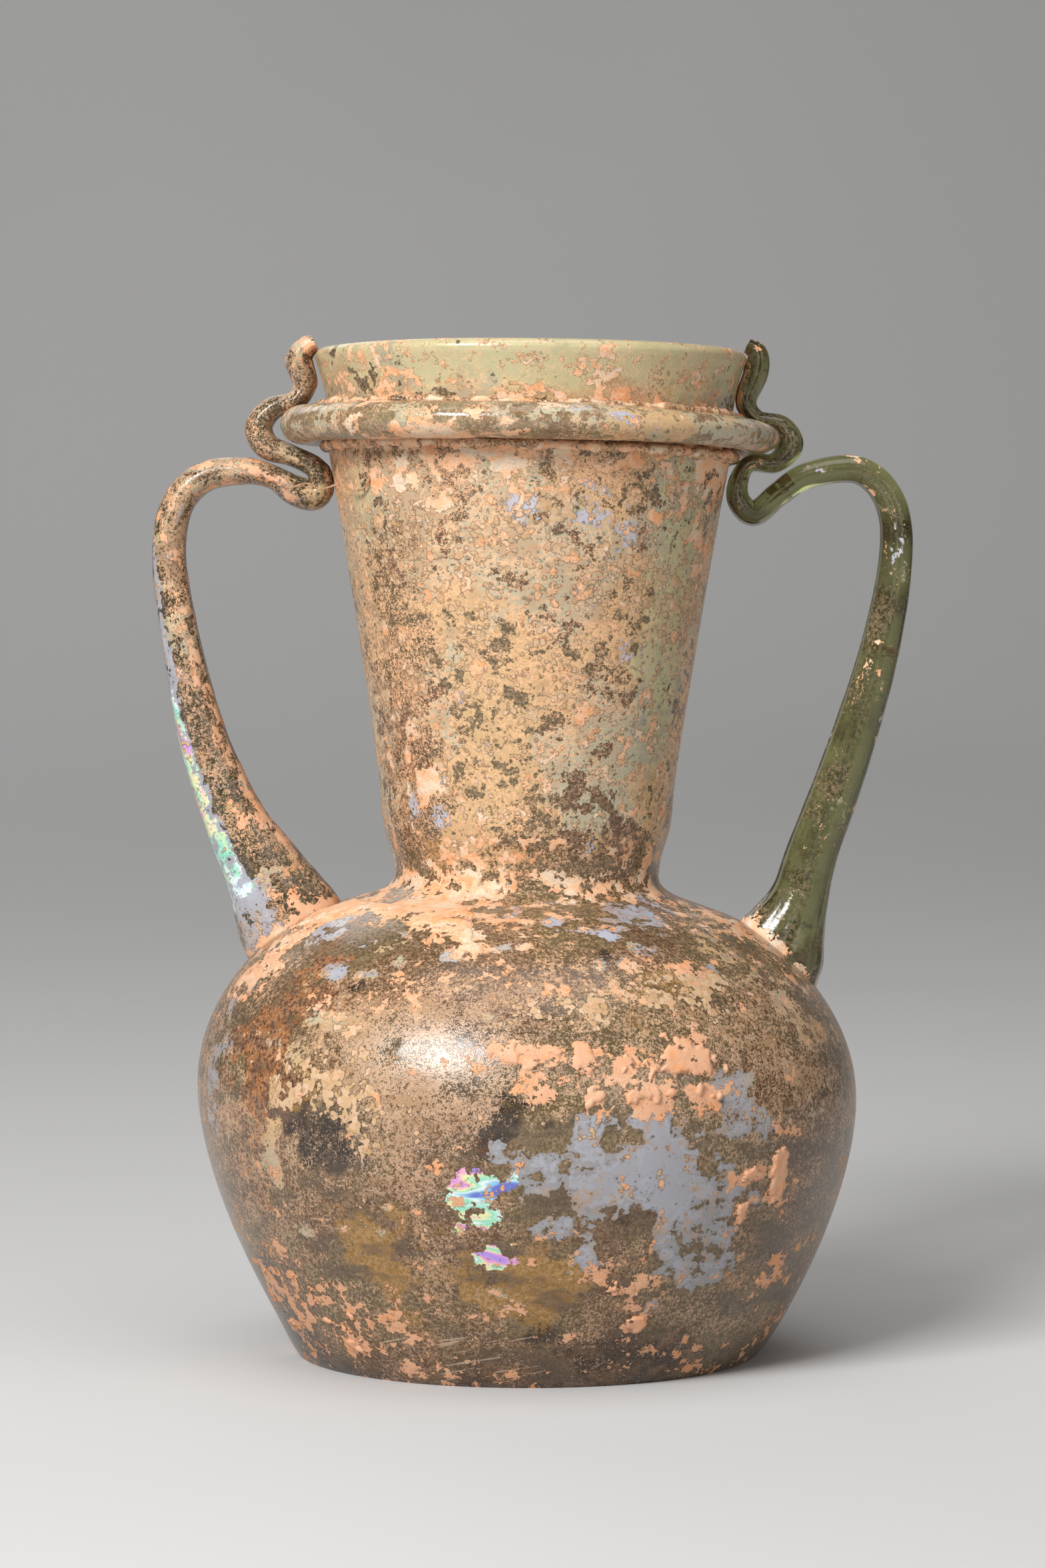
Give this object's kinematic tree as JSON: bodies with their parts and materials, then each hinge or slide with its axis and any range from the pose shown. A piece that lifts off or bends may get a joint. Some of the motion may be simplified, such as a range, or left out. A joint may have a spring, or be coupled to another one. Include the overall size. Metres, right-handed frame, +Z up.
{
  "type": "two-handled glass bottle",
  "caption": "Free-blown glass bottle with a round lopsided body, a wide funnel neck, a wound collar under the lip and folded rod handles, crusted with soil.",
  "frame": {"origin": "centre of the standing ring under the base, on the surface that the bottle stands on", "axes": "+Z up along the neck, +X towards the handle that is mostly clear, -X towards the crusted handle, -Y the front"},
  "size_m": [0.0997, 0.0868, 0.1357],
  "materials": {
    "vessel_glass": "olive green glass, glossy where bare, covered by tan and orange soil crust with grey and iridescent film",
    "collar_glass": "glossy grey-olive glass with tan and rust-brown crust in its hollows",
    "handle_left_glass": "dark olive glass, mostly under tan crust, with an iridescent streak down its outer face",
    "handle_right_glass": "glossy dark olive green glass, clear at its outer edge, with a few tan specks"
  },
  "bodies": {
    "root": {"vessel": "vessel_glass", "collar": "collar_glass", "handle_left": "handle_left_glass", "handle_right": "handle_right_glass"}
  },
  "joints": []
}
